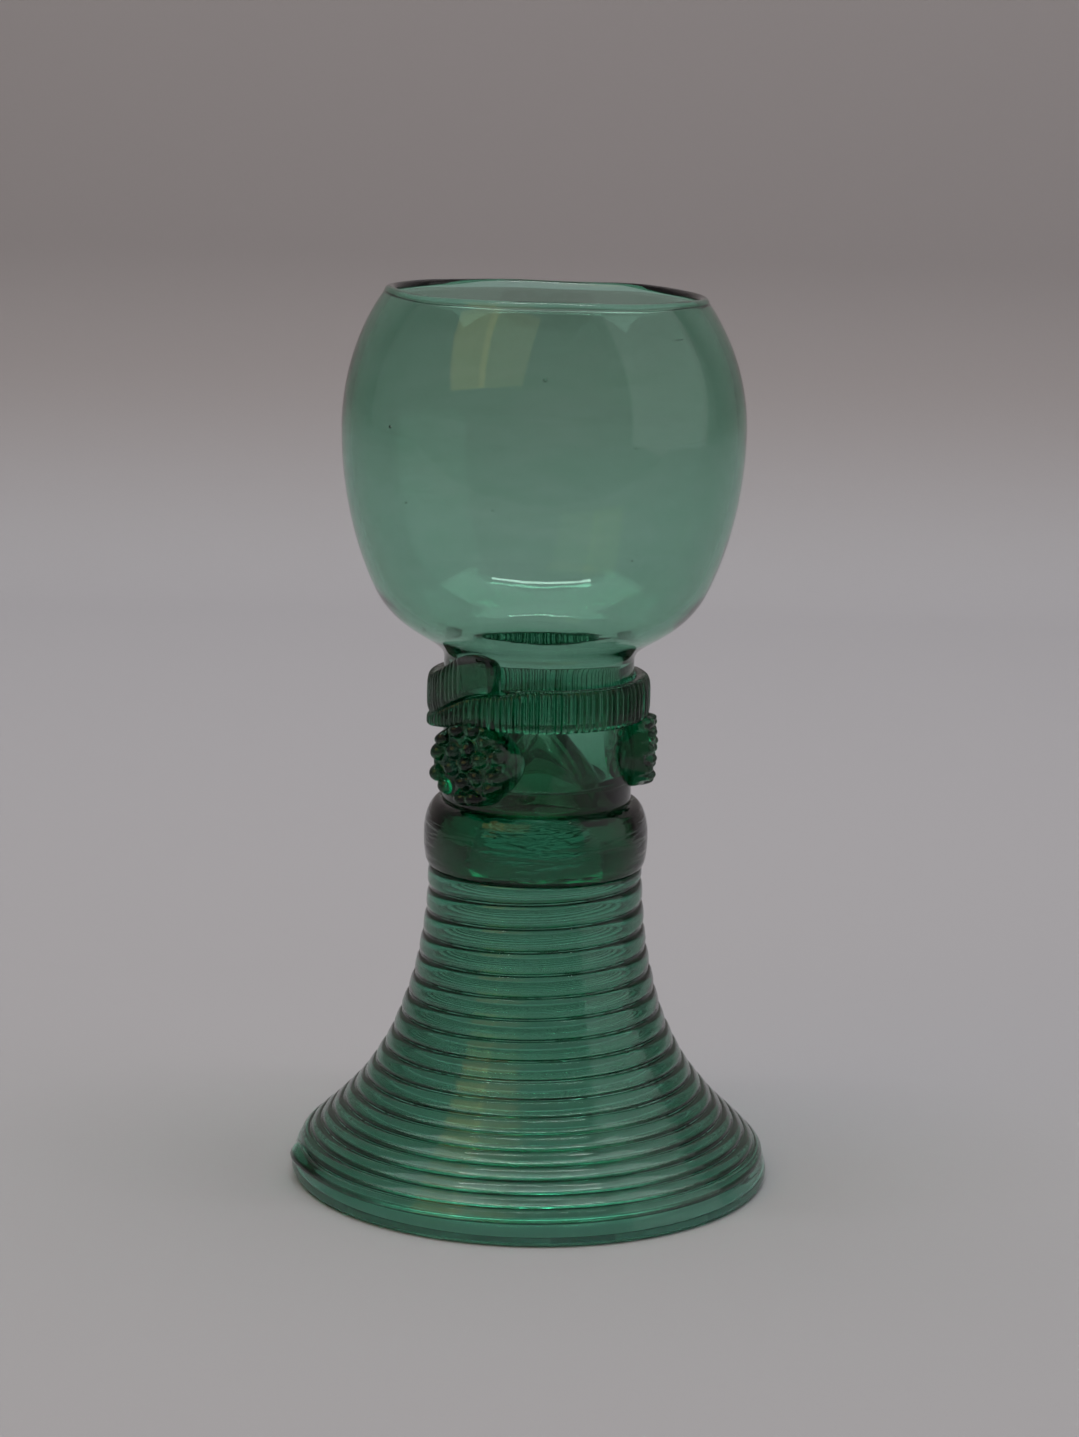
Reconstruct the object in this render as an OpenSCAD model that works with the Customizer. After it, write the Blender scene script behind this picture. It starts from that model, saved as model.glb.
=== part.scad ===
// Roemer: a blown wine glass of green glass on a spun foot.
// Millimetres. The foot stands on z = 0, Z is the axis of the glass, and the front faces -Y.
// Angles around the glass are measured from the front towards +X.

/* [Bowl] */
// Diameter at the belly, the widest part of the bowl
bowl_d = 66.4; // [48:0.2:90]
// Height of the bowl from the waist to the top of the lip
bowl_h = 60.6; // [44:0.2:90]
// Depth of the belly below the top of the lip
belly_drop = 22.5; // [14:0.5:30]
// How far the lip draws in from the belly, on the radius
lip_inset = 6.9; // [2:0.1:12]
// How far the shoulder draws in from the belly, on the radius
shoulder_inset = 5.5; // [3:0.1:12]
// Height of the shoulder above the waist
shoulder_h = 12.3; // [7:0.1:16]
// Reach of the shoulder's curve down towards the waist
shoulder_reach = 9.1; // [3:0.1:12]
// Reach of the waist's curve up towards the shoulder
waist_reach = 4.6; // [1:0.1:6]
// Thickness of the bowl
bowl_wall = 1.4; // [0.8:0.1:3]

/* [Stem] */
// Outer diameter of the hollow stem
stem_d = 31.6; // [22:0.2:40]
// Thickness of the stem
stem_wall = 1.8; // [1:0.1:3]
// Plain neck above the trail's highest point, less than 0 where the trail reaches up onto the waist
neck_h = -2.4; // [-3:0.1:6]
// Height of the kick, the cone pushed up into the stem from below
kick_h = 14; // [6:0.5:20]
// Thickness of the kick
kick_wall = 2.2; // [1:0.1:4]
// Radius of the trough between the kick and the stem
trough_r = 2; // [0.5:0.1:4]

/* [Milled collar] */
// Height of the trail laid around the stem
collar_h = 6.6; // [4:0.1:10]
// Thickness of the trail
collar_t = 2.8; // [1.5:0.1:4]
// How far the start of the trail rides up, with its tail under it
collar_rise = 4.7; // [2:0.1:6]
// Turn in which the trail comes down from its start, in degrees
collar_fall = 65; // [40:1:120]
// Turn in which the trail thins to pass under its start, in degrees
collar_duck = 24; // [10:1:45]
// Turn at the start of the trail that is pressed smooth, in degrees
thumb_turn = 52; // [10:1:75]
// Turn by which the tail laps under the start, in degrees
tail_turn = 78; // [60:1:110]
// How far the tip of the tail drops below the trail
tail_drop = 2.4; // [1.6:0.1:4]
// Length of the rounded ends of the trail
tail_round = 1.4; // [0.6:0.1:3]
// Place of the start of the trail, in degrees
collar_at = -23; // [-180:1:180]
// Ribs milled in one turn
ribs = 94; // [40:1:120]
// Depth of the milling
rib_depth = 0.5; // [0.2:0.05:1]
// Rounding of the upper and lower edges of the trail
collar_edge = 0.9; // [0.3:0.1:1.6]

/* [Prunts] */
// Diameter of a prunt's pad
prunt_d = 14.2; // [9:0.1:18]
// Height of the pad's crown above the stem
prunt_t = 2.6; // [1.5:0.1:4]
// Thickness of the pad at its edge
pad_edge = 0.7; // [0.3:0.1:1.2]
// Diameter of one berry
berry_d = 2.6; // [1.8:0.1:4]
// Height of a berry above the pad
berry_h = 1.5; // [0.6:0.1:2]
// Place of the front prunt around the stem, in degrees
prunt_front_at = -36; // [-180:1:180]
// Place of the right prunt around the stem, in degrees
prunt_right_at = 87; // [-180:1:180]
// Place of the back prunt around the stem, in degrees
prunt_back_at = -157; // [-180:1:180]

/* [Knop] */
// Diameter of the knop between foot and stem
knop_d = 37.6; // [30:0.2:50]
// Height of the knop
knop_h = 11; // [6:0.5:18]
// Height of the knop's widest part above its lower face
knop_mid = 5; // [3:0.5:9]
// How far the knop stands out under the stem
knop_ledge = 0.6; // [0:0.1:3]
// Thickness of the knop inside the foot's wall
knop_wall = 3; // [1.5:0.1:5]
// Thickness of the knop at its widest part
knop_side = 8; // [2:0.1:12]

/* [Spun foot] */
// Diameter of the rim of the foot
foot_d = 80.8; // [60:0.2:110]
// Height of the foot up to the knop
foot_h = 53.7; // [40:0.1:80]
// Outer diameter of the foot's wall under the knop
foot_neck_d = 33.8; // [24:0.2:40]
// Thickness of the foot's wall
foot_wall_t = 1.8; // [1:0.1:3]
// Height of the rim's widest part
rim_h = 1.3; // [0.8:0.1:6]
// How far the rim rounds in to the ring it stands on
rim_round = 1.2; // [0.6:0.1:4]
// Width of the ring it stands on
ring_w = 1.6; // [0.8:0.1:4]
// Reach of the flare's curve up from the rim
flare_low = 7; // [4:0.5:14]
// Reach of the flare's curve down from the knop
flare_high = 41.5; // [24:0.5:50]
// Lean of the wall under the knop, in degrees
neck_lean = 1; // [0:0.5:10]

/* [Wound thread] */
// Thickness of the thread
thread_t = 1.1; // [0.6:0.1:2]
// Spacing of the turns under the knop
pitch_top = 4.1; // [2.5:0.1:6]
// Spacing of the turns at the rim
pitch_rim = 2.3; // [1.6:0.1:4]
// Bare band of the flare above the rim's widest part
rim_band = 3; // [3:0.5:12]
// Width of the thread where its first turn starts under the knop
thread_tip = 0.8; // [0.6:0.1:2]
// Length of the tapered ends of the thread, in turns
thread_taper = 0.3; // [0.1:0.05:1]
// Place of the end of the thread at the rim, in degrees
thread_end_at = -95; // [-180:1:180]

/* [Clearances] */
// Gap between neighbouring turns of a trail or thread
turn_gap = 0.5; // [0.45:0.05:1]
// Gap between a trail or thread and the glass it is laid on
seat_gap = 0.03; // [0.01:0.01:0.2]
// Gap left above and below the prunts
prunt_gap = 0.3; // [0.1:0.1:2]
// Gap between neighbouring berries
berry_gap = 0.2; // [0.1:0.05:1]

/* [Hidden] */
$fn = 96;
curve_steps = 12;
way_steps = 80;
turn_rings = 30;
rib_rings = 4;
// Share of a trail's thickness that is left at its blunt ends
end_share = 0.4;
// Share of the collar's thickness that is level before its edges round off
level_share = 0.7;
// How much narrower the grooves of the milling are than its ribs
rib_power = 3;
// How round the tip of the kick is, as a share of the kick's radius
kick_tip = 0.2;

stem_r = stem_d / 2;
stem_bore_r = stem_r - stem_wall;
neck_r = foot_neck_d / 2;
rim_r = foot_d / 2;
prunt_r = prunt_d / 2;
berry_r = berry_d / 2;

// Levels from the ground up: the stem is as tall as what is laid on it
knop_z = foot_h;
stem_z = knop_z + knop_h;
prunt_z = stem_z + prunt_gap + prunt_r;
collar_z = prunt_z + prunt_r + prunt_gap;
stem_h = collar_z + collar_h + collar_rise + neck_h - stem_z;
bowl_z = stem_z + stem_h;

// Curves
function mix(a, b, t) = a + (b - a) * t;
function ease(t) = (1 - cos(180 * max(0, min(1, t)))) / 2;
function unit(v) = v / norm(v);
function steps(from = 0) = [for (i = [from:curve_steps]) i / curve_steps];
function reverse(list) = [for (i = [len(list) - 1:-1:0]) list[i]];
// Point and heading of a cubic curve with two end points and two handles
function curve(p, t) = pow(1 - t, 3) * p[0] + 3 * pow(1 - t, 2) * t * p[1]
    + 3 * (1 - t) * t * t * p[2] + pow(t, 3) * p[3];
function heading(p, t) = unit(pow(1 - t, 2) * (p[1] - p[0]) + 2 * (1 - t) * t * (p[2] - p[1])
    + t * t * (p[3] - p[2]));
// The side on the right of a heading, which is the outside of a wall that is drawn upwards
function right_of(h) = [h.y, -h.x];
// Quarter of an ellipse from a point where it runs upright to one where it runs level
function quarter(side, end, from = 0) = [for (t = steps(from))
    [mix(end.x, side.x, cos(90 * t)), mix(side.y, end.y, sin(90 * t))]];
// Half a wave that falls from 1 at the middle to 0 at the radius
function wave(x, radius) = (1 + cos(180 * x / radius)) / 2;
// A point of the half plane (radius, height) turned to an angle around the glass
function turned(p, angle) = [p.x * sin(angle), -p.x * cos(angle), p.y];

// A body drawn through rings of points, closed at both ends
module swept(rings) {
    m = len(rings[0]);
    last = (len(rings) - 1) * m;
    sides = [for (i = [0:len(rings) - 2], j = [0:m - 1])
        let (a = i * m + j, b = i * m + (j + 1) % m)
        each [[a, b, b + m], [a, b + m, a + m]]];
    caps = [for (j = [1:m - 2]) each [[0, j + 1, j], [last, last + j, last + j + 1]]];
    polyhedron([for (ring = rings) each ring], concat(sides, caps));
}

// Least distance between the points of two rings
function ring_gap(a, b) = min([for (p = a, q = b) norm(p - q)]);

// Bowl: the middle line of its wall rises from the waist through shoulder and belly to the lip
belly_r = bowl_d / 2 - bowl_wall / 2;
belly_z = bowl_h - belly_drop;
lip = [belly_r - lip_inset, bowl_h - bowl_wall / 2];
lip_angle = acos(lip.x / belly_r);
lip_axis = (lip.y - belly_z) / sin(lip_angle);
shoulder = [belly_r - shoulder_inset, shoulder_h];
shoulder_angle = acos(shoulder.x / belly_r);
shoulder_axis = (belly_z - shoulder.y) / sin(shoulder_angle);

function belly_point(angle, axis) = [belly_r * cos(angle), belly_z + axis * sin(angle)];
function belly_heading(angle, axis) = unit([-belly_r * sin(angle), axis * cos(angle)]);

waist = [stem_r - stem_wall / 2, 0];
waist_curve = [waist, waist + [0, waist_reach],
    shoulder - shoulder_reach * belly_heading(-shoulder_angle, shoulder_axis), shoulder];
// Each entry is a point, its heading and half the wall there
waist_wall = [for (t = steps())
    [curve(waist_curve, t), heading(waist_curve, t), mix(stem_wall, bowl_wall, ease(t)) / 2]];

function outside(w) = w[0] + w[2] * right_of(w[1]);
function inside(w) = w[0] - w[2] * right_of(w[1]);
// Pairs of a height and the outer radius there, which a trail on the stem or the waist lies on
waist_side = [for (w = waist_wall) [bowl_z + outside(w).y, outside(w).x]];

module bowl() {
    wall = concat(
        waist_wall,
        [for (t = steps(1)) let (a = -shoulder_angle * (1 - t))
            [belly_point(a, shoulder_axis), belly_heading(a, shoulder_axis), bowl_wall / 2]],
        [for (t = steps(1)) let (a = lip_angle * t)
            [belly_point(a, lip_axis), belly_heading(a, lip_axis), bowl_wall / 2]]);
    up = belly_heading(lip_angle, lip_axis);
    lip_bead = [for (t = steps(1)) if (t < 1)
        lip + bowl_wall / 2 * (up * sin(180 * t) + right_of(up) * cos(180 * t))];
    color("#7d9b76") translate([0, 0, bowl_z]) rotate_extrude() polygon(concat(
        [for (w = wall) outside(w)],
        lip_bead,
        reverse([for (w = wall) inside(w)])));
}

// Stem: a tube whose floor is pushed up into a hollow cone
function cone(x) = (norm([1, kick_tip]) - norm([x, kick_tip])) / (norm([1, kick_tip]) - kick_tip);

module stem() {
    trough_x = stem_bore_r - trough_r;
    under_x = trough_x - kick_wall;
    rise = kick_h - kick_wall;
    color("#5b7c58") translate([0, 0, stem_z]) rotate_extrude() polygon(concat(
        [[stem_r, 0], [stem_r, stem_h], [stem_bore_r, stem_h]],
        quarter([stem_bore_r, kick_wall + trough_r], [trough_x, kick_wall]),
        [for (t = steps(1)) [trough_x * (1 - t), kick_wall + rise * cone(1 - t)]],
        [for (t = steps()) [under_x * t, rise * cone(t)]]));
}

// Milled collar: one flat trail that starts high, falls, goes round and ducks under its start
collar_turn = 360 + tail_turn;
rib_angle = 360 / ribs;
start_clear = turn_gap / stem_r * 180 / PI;

function start_lift(angle) = collar_rise * wave(min(angle, collar_fall), collar_fall);
function tail_fall(angle) = tail_drop * ease((angle - 360) / tail_turn);
function ducked(angle) = angle > 360 ? start_lift(angle - 360) - turn_gap
    : mix(collar_h, collar_rise - turn_gap, ease((angle + start_clear - 360) / collar_duck + 1));
function end_scale(angle) = let (reach = min(angle, collar_turn - angle) * PI / 180 * stem_r)
    mix(end_share, 1, sin(90 * min(1, reach / tail_round)));
function rib_cut(angle) = rib_depth * ease(angle / thumb_turn)
    * pow(abs(cos(180 * angle / rib_angle)), rib_power);

function collar_ring(angle) = let (
        bottom = collar_z + start_lift(angle) - tail_fall(angle),
        top = collar_z + (angle > 360 - collar_duck ? ducked(angle) : start_lift(angle) + collar_h),
        face = collar_t * end_scale(angle) - rib_cut(angle),
        edge = min(collar_edge, (top - bottom) / 3),
        brow = mix(seat_gap, face, level_share))
    // Each point is a distance from the glass that the trail lies on, and a height
    [for (p = [[seat_gap, bottom], [brow, bottom], [face - rib_depth, bottom + edge / 2],
        [face, bottom + edge], [face, top - edge], [face - rib_depth, top - edge / 2],
        [brow, top], [seat_gap, top]])
        turned([lookup(p.y, waist_side) + p.x, p.y], collar_at - angle)];

collar_rings = [for (angle = [0:rib_angle / rib_rings:collar_turn]) collar_ring(angle)];
collar_gap = min([for (angle = [0:rib_angle:tail_turn])
    ring_gap(collar_ring(angle), collar_ring(angle + 360))]);

module milled_collar() {
    echo(least_gap_of_the_collar_to_itself = collar_gap);
    color("#1f3a2b") swept(collar_rings);
}

// Prunt: a stamped pad with berries in rings, its back shaped to the stem
crown_h = prunt_t - pad_edge;
crown_r = (prunt_r * prunt_r + crown_h * crown_h) / (2 * crown_h);
crown_x = stem_r + prunt_t - crown_r;
berry_step = berry_d + berry_gap;
berry_rings = floor((prunt_r - berry_r) / berry_step);

module prunt(angle) {
    color("#234a33") rotate(angle - 90) translate([0, 0, prunt_z]) difference() {
        union() {
            rotate([0, 90, 0]) rotate_extrude() intersection() {
                translate([0, crown_x]) circle(crown_r);
                square([prunt_r, stem_d]);
            }
            for (ring = [0:berry_rings], k = [0:max(1, 6 * ring) - 1]) {
                tilt = ring * berry_step / crown_r * 180 / PI;
                translate([crown_x, 0, 0])
                    rotate([60 * k / max(1, ring), 0, 0])
                    rotate([0, tilt, 0])
                    translate([crown_r + berry_h - berry_r, 0, 0]) sphere(berry_r);
            }
        }
        cylinder(r = stem_r, h = 2 * prunt_d, center = true);
    }
}

module prunt_front() prunt(prunt_front_at);
module prunt_right() prunt(prunt_right_at);
module prunt_back() prunt(prunt_back_at);

// Knop: the ring of glass that joins the foot's wall to the stem's floor
module foot_knop() {
    bore_r = min(stem_r, neck_r) - knop_wall;
    low = [neck_r + thread_t, 0];
    wide = [knop_d / 2, knop_mid];
    high = [stem_r + knop_ledge, knop_h];
    narrow = [knop_d / 2 - knop_side, knop_mid];
    color("#2c5a3e") translate([0, 0, knop_z]) rotate_extrude() polygon(concat(
        reverse(quarter(wide, low)),
        quarter(wide, high, 1),
        reverse(quarter(narrow, [bore_r, knop_h])),
        quarter(narrow, [bore_r, 0], 1)));
}

// Foot wall: the flare from the rim up to the knop, and inside it the same curve less the wall
flare = [[rim_r, rim_h], [rim_r, rim_h + flare_low],
    [neck_r + flare_high * tan(neck_lean), foot_h - flare_high], [neck_r, foot_h]];

module foot_wall() {
    ground_r = rim_r - rim_round;
    color("#4f7f5d") rotate_extrude() polygon(concat(
        [[ground_r - ring_w, 0]],
        reverse(quarter([rim_r, rim_h], [ground_r, 0])),
        [for (t = steps(1)) curve(flare, t)],
        [[neck_r - foot_wall_t, foot_h]],
        reverse([for (t = steps()) if (t < 1) curve(flare, t) - foot_wall_t * right_of(heading(flare, t))])));
}

// Wound thread: one unbroken thread down the flare, each turn a little closer to the last
function flare_step(i) = norm(curve(flare, 1 - i / way_steps) - curve(flare, 1 - (i + 1) / way_steps));
// Pairs of the way along the flare from the knop and the curve's own measure there
flare_way = [for (i = 0, way = 0; i <= way_steps; way = way + flare_step(i), i = i + 1)
    [way, 1 - i / way_steps]];
thread_start = (turn_gap + pitch_top) / 2;
thread_way = flare_way[way_steps][0] - rim_band - thread_start;
thread_turns = 2 * thread_way / (pitch_top + pitch_rim);
// Turn zero is the first of full width: before it the thread widens from its tip along the knop
thread_from = (turn_gap + thread_tip) / pitch_top - 1;

// Section of the thread, in shares of its half width and its thickness
thread_section = [[-1, 0], [-0.8, 0.7], [-0.35, 1], [0.35, 1], [0.8, 0.7], [1, 0]];

function thread_ring(n) = let (
        way = n < 0 ? thread_start + pitch_top * n / 2
            : thread_start + pitch_top * n + (pitch_rim - pitch_top) * n * n / (2 * thread_turns),
        t = lookup(way, flare_way),
        up = heading(flare, t),
        end = sin(90 * min(1, min(n - thread_from, thread_turns - n) / thread_taper)),
        pitch = n < 0 ? pitch_top * (1 + n) : mix(pitch_top, pitch_rim, n / thread_turns),
        half = (pitch - turn_gap) / 2 * mix(end_share, 1, end),
        crest = thread_t * mix(end_share, 1, end),
        angle = thread_end_at + 360 * (thread_turns - n))
    [for (p = thread_section)
        let (q = curve(flare, t) + half * p.x * up + (seat_gap + crest * p.y) * right_of(up))
        turned([q.x / cos(180 / turn_rings), q.y], angle)];

thread_rings = [for (n = [thread_from:1 / turn_rings:thread_turns]) thread_ring(n)];
thread_gap = min([for (i = [turn_rings:len(thread_rings) - 1])
    ring_gap(thread_rings[i], thread_rings[i - turn_rings])]);

module foot_thread() {
    echo(turns_of_the_thread = thread_turns, least_gap_of_the_thread_to_itself = thread_gap);
    color("#3f7a58") swept(thread_rings);
}

bowl();
stem();
milled_collar();
prunt_front();
prunt_right();
prunt_back();
foot_knop();
foot_wall();
foot_thread();
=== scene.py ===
"""A roemer of green forest glass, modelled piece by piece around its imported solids."""

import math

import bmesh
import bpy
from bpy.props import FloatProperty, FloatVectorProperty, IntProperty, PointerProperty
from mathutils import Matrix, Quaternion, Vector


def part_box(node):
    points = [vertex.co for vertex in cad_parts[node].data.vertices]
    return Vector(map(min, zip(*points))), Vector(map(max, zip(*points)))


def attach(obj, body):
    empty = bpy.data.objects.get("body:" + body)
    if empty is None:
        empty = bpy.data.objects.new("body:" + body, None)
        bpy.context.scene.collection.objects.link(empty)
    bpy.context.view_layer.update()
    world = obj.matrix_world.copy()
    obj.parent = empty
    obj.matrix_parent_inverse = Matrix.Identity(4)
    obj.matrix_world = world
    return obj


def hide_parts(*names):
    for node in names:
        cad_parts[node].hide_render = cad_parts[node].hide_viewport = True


bl_info = {
    "name": "Roemer Glass",
    "version": (1, 0, 0),
    "blender": (4, 5, 0),
    "location": "3D View > Sidebar > Roemer",
    "description": "Models a green roemer with a milled collar, raspberry prunts and a spun foot",
    "category": "Object",
}

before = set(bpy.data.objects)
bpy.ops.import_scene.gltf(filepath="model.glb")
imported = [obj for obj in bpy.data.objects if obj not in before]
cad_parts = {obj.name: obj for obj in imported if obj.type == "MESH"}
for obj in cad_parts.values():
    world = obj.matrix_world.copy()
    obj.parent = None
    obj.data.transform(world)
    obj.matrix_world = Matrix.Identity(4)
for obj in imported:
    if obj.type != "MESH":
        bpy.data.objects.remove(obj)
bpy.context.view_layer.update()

MM = 0.001

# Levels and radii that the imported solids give
FOOT_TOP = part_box("foot_wall")[1].z
KNOP_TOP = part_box("foot_knop")[1].z
STEM_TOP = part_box("stem")[1].z
LIP_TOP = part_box("bowl")[1].z
BELLY_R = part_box("bowl")[1].x
STEM_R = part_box("stem")[1].x
KNOP_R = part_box("foot_knop")[1].x
RIM_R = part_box("foot_wall")[1].x
PRUNTS = ("prunt_front", "prunt_right", "prunt_back")
PRUNT_Z = (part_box(PRUNTS[0])[0].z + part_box(PRUNTS[0])[1].z) / 2
PRUNT_R = (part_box(PRUNTS[0])[1].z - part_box(PRUNTS[0])[0].z) / 2

# Steps of the turned pieces around the axis, and of the strips along one turn or one rib
TURN_STEPS = 192
THREAD_RINGS = 96
RIB_RINGS = 10


def linear(hex_colour):
    """Linear red, green and blue of an sRGB hex colour"""
    channels = [int(hex_colour[i:i + 2], 16) / 255 for i in (1, 3, 5)]
    return [c / 12.92 if c <= 0.04045 else ((c + 0.055) / 1.055) ** 2.4 for c in channels]


# Properties that a user can set

def size(name, description, millimetres):
    """A length with its default in millimetres"""
    return FloatProperty(name=name, description=description, default=millimetres * MM, unit="LENGTH",
                         precision=5)


def angle(name, description, degrees):
    """An angle with its default in degrees"""
    return FloatProperty(name=name, description=description, default=math.radians(degrees), subtype="ANGLE")


def colour(name, description, hex_colour):
    """A colour with its default as an sRGB hex value"""
    return FloatVectorProperty(name=name, description=description, default=linear(hex_colour),
                               subtype="COLOR", size=3, min=0, max=1)


class RoemerShape(bpy.types.PropertyGroup):
    """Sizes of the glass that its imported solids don't give by themselves"""
    belly_drop: size("Belly drop", "Depth of the belly below the top of the lip", 22.5)
    lip_inset: size("Lip inset", "How far the lip draws in from the belly, on the radius", 6.9)
    lip_wall: size("Lip wall", "Thickness of the fire-polished bead along the lip", 1.8)
    lip_tilt: angle("Lip tilt", "How far the lip leans down to the right", 0.84)
    lip_wave: size("Lip wave", "How far the lip rises and falls as it goes round", 0.12)
    shoulder_inset: size("Shoulder inset", "How far the shoulder draws in from the belly, on the radius", 5.5)
    shoulder_h: size("Shoulder height", "Height of the shoulder above the waist", 12.3)
    shoulder_reach: size("Shoulder reach", "Reach of the shoulder's curve down towards the waist", 9.1)
    waist_reach: size("Waist reach", "Reach of the waist's curve up towards the shoulder", 4.6)
    bowl_wall: size("Bowl wall", "Thickness of the bowl", 1.5)
    stem_wall: size("Stem wall", "Thickness of the stem that the waist's curve starts from", 1.8)
    kick_h: size("Kick height", "Height of the cone pushed up into the stem", 14)
    kick_wall: size("Kick wall", "Thickness of the kick", 3)
    trough_r: size("Trough radius", "Radius of the trough between the kick and the stem", 1)
    collar_h: size("Collar height", "Height of the trail laid around the stem", 7.1)
    collar_t: size("Collar thickness", "Thickness of the trail laid around the stem", 2.8)
    collar_rise: size("Collar rise", "How far the start of the trail rides up over its tail", 6.0)
    collar_fall: angle("Collar fall", "Turn in which the trail comes down from its start", 65)
    collar_duck: angle("Collar duck", "Turn in which the trail thins to pass under its start", 20)
    collar_at: angle("Collar start", "Place of the start of the trail, from the front towards the right", -23)
    collar_thumb: angle("Collar thumb", "Turn at the start of the trail that the milling leaves smooth", 52)
    collar_seam: size("Collar seam", "Width of the seam between the start of the trail and its tail", 0.04)
    thumb_round: size("Thumb round", "Radius of the upper corner of the trail's start", 2.6)
    tail_turn: angle("Tail turn", "Turn by which the tail laps under the start of the trail", 84)
    tail_drop: size("Tail drop", "How far the tip of the tail drops below the trail", 2.4)
    tail_round: size("Tail round", "Length of the rounded ends of the trail", 1.2)
    ribs: IntProperty(name="Ribs", description="Ribs milled in one turn of the collar", default=94, min=8)
    rib_depth: size("Rib depth", "Depth of the milling", 0.5)
    prunt_t: size("Prunt thickness", "Height of a prunt's crown above the stem", 2.6)
    pad_edge: size("Prunt edge", "Height of a prunt's crown at its edge", 2.2)
    berry_d: size("Berry diameter", "Diameter of one berry of a prunt", 2.6)
    berry_h: size("Berry height", "Height of one berry above its pad", 1.5)
    berry_gap: size("Berry gap", "Gap between neighbouring berries", 0.2)
    knop_mid: size("Knop middle", "Height of the knop's widest part above its lower face", 5)
    knop_ledge: size("Knop ledge", "How far the knop stands out under the stem", 0.2)
    knop_wall: size("Knop wall", "Thickness of the knop inside the stem's radius", 3)
    knop_side: size("Knop side", "Thickness of the knop at its widest part", 8)
    foot_neck_r: size("Foot neck", "Radius of the foot's wall under the knop", 16.9)
    foot_wall: size("Foot wall", "Thickness of the foot's wall", 1.8)
    rim_h: size("Rim height", "Height of the rim's widest part", 1.3)
    rim_round: size("Rim round", "How far the rim rounds in to the ring it stands on", 1.2)
    ring_w: size("Ring width", "Width of the ring that the foot stands on", 1.6)
    flare_low: size("Flare low", "Reach of the flare's curve up from the rim", 7)
    flare_high: size("Flare high", "Reach of the flare's curve down from the knop", 41.5)
    neck_lean: angle("Neck lean", "Lean of the wall under the knop", 1)
    thread_t: size("Thread thickness", "Thickness of the thread wound down the foot", 1.05)
    thread_groove: size("Thread groove", "Width of the groove between two turns", 0.14)
    thread_sink: size("Thread sink", "How far the foot's wall swells up between the turns", 0.6)
    thread_low: size("Thread low", "Thickness of the thread at the rim, where it is pressed flatter", 0.84)
    thread_tip: size("Thread tip", "Width of the thread where its first turn starts under the knop", 0.5)
    pitch_top: size("Upper pitch", "Spacing of the turns under the knop", 4.1)
    pitch_rim: size("Lower pitch", "Spacing of the turns at the rim", 2.3)
    rim_band: size("Rim band", "Bare band of the flare above the rim's widest part", 3)
    turn_gap: size("Turn gap", "Gap between the knop and the first turn", 0.1)
    thread_end_at: angle("Thread end", "Place of the thread's end, from the front to the right", -86)
    melt: size("Melt", "How deep a trail, prunt or thread is melted into the glass that it is laid on", 0.25)
    joint: size("Joint", "How deep the stem and the foot's wall are melted into the knop", 0.8)


class RoemerGlass(bpy.types.PropertyGroup):
    """Colour of the glass"""
    green: colour("Green", "Colour that the glass lets through at full density", "#84d8c0")
    foot_green: colour("Foot green", "Colour that the later gathers let through at full density", "#8ae0d0")
    density: FloatProperty(name="Density", description="How strongly the glass takes up light, per metre",
                           default=400, min=0)
    waviness: size("Waviness", "Depth of the unevenness that blowing leaves in a wall", 0.05)


class RoemerStage(bpy.types.PropertyGroup):
    """Floor, light and camera"""
    floor: colour("Floor", "Colour of the paper that the glass stands on", "#aba9ad")
    # The wall colour is darker than the floor's as painted shade on the upright part of the paper, which is
    # one sheet with the floor
    wall: colour("Wall", "Colour of the paper behind the glass", "#a09a9b")
    crease_y: FloatProperty(name="Crease", description="Place behind the glass where the paper turns up",
                            default=0.57, unit="LENGTH")
    lens: FloatProperty(name="Lens", description="Focal length for a picture 36 mm tall", default=85.9,
                        unit="CAMERA")
    camera_at: FloatVectorProperty(name="Camera", description="Place of the camera", size=3, unit="LENGTH",
                                   subtype="TRANSLATION", default=(0.00023, -0.5601, 0.1898))
    pitch: angle("Pitch", "How far the camera looks down", 11.28)
    roll: angle("Roll", "How far the camera leans to the left", 1.22)


# Curves of the half plane (radius, height)

def mix(a, b, t):
    return a + (b - a) * t


def ease(t):
    """Rises smoothly from 0 to 1 as t does"""
    return (1 - math.cos(math.pi * max(0, min(1, t)))) / 2


def wave(x, radius):
    """Half a wave that falls from 1 at the middle to 0 at the radius"""
    return (1 + math.cos(math.pi * x / radius)) / 2


def shares(count, first=0):
    return [i / count for i in range(first, count + 1)]


def cubic(p, t):
    """Point of a cubic curve with two end points and two handles"""
    s = 1 - t
    return s ** 3 * p[0] + 3 * s * s * t * p[1] + 3 * s * t * t * p[2] + t ** 3 * p[3]


def heading(p, t):
    s = 1 - t
    return (s * s * (p[1] - p[0]) + 2 * s * t * (p[2] - p[1]) + t * t * (p[3] - p[2])).normalized()


def right_of(way):
    """The side on the right of a heading, which is the outside of a wall that is drawn upwards"""
    return Vector((way.y, -way.x))


def quarter(side, end, count):
    """Quarter of an ellipse from a point where it runs upright to one where it runs level"""
    turns = [t * math.pi / 2 for t in shares(count)]
    return [Vector((mix(end.x, side.x, math.cos(a)), mix(side.y, end.y, math.sin(a)))) for a in turns]


def straight(start, end, count):
    return [start.lerp(end, t) for t in shares(count)]


def look_up(table, key):
    """Value of a table of rising keys at a key, with its ends held beyond them"""
    for (low, a), (high, b) in zip(table, table[1:]):
        if key <= high:
            return mix(a, b, max(0, key - low) / (high - low))
    return table[-1][1]


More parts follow.
